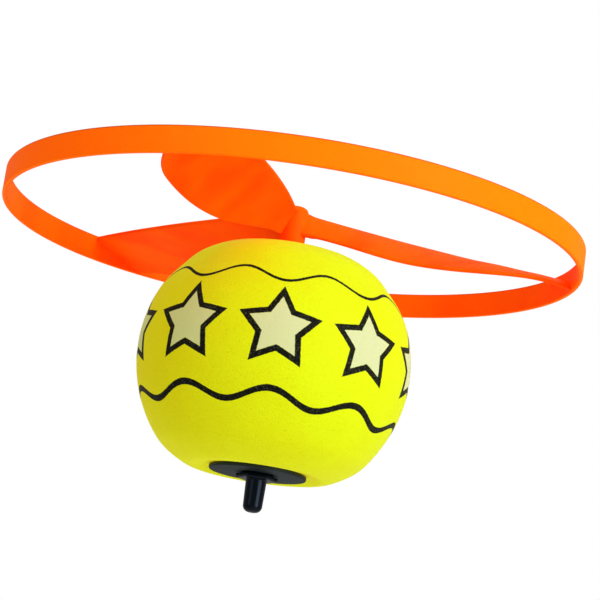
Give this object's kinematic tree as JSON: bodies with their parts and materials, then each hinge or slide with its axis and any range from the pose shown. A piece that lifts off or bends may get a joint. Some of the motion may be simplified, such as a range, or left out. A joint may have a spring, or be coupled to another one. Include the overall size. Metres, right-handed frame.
{
  "type": "flying spinner",
  "caption": "Hooped propeller-style rotor above a soft foam ball head, on one axle that ends below in a hexagon-collared launch peg; the rotor spins free of the head.",
  "frame": {"origin": "on the spin axis, in the plane of the base disc's lower face, where the launch peg leaves the head", "axes": "+Z along the spin axis from the peg up to the rotor; +X and +Y across the hoop"},
  "size_m": [0.15, 0.15, 0.0799],
  "materials": {
    "yellow_foam": "matte",
    "orange_moulding": "satin",
    "satin_black": "satin",
    "gloss_black": "gloss",
    "white_acetal": "satin",
    "bright_steel": "satin"
  },
  "bodies": {
    "head": {"foam_ball": "yellow_foam", "base_disc": "satin_black", "top_flange": "satin_black", "lower_bush": "white_acetal", "upper_bush": "white_acetal"},
    "rotor": {"rotor": "orange_moulding", "axle": "bright_steel", "drive_peg": "gloss_black", "lower_washer": "white_acetal", "upper_washer": "white_acetal"}
  },
  "joints": [
    {"name": "rotor_spin", "type": "hinge", "parent": "head", "child": "rotor", "pos_m": [0, 0, 0], "axis": [0, 0, 1], "continuous": true}
  ]
}
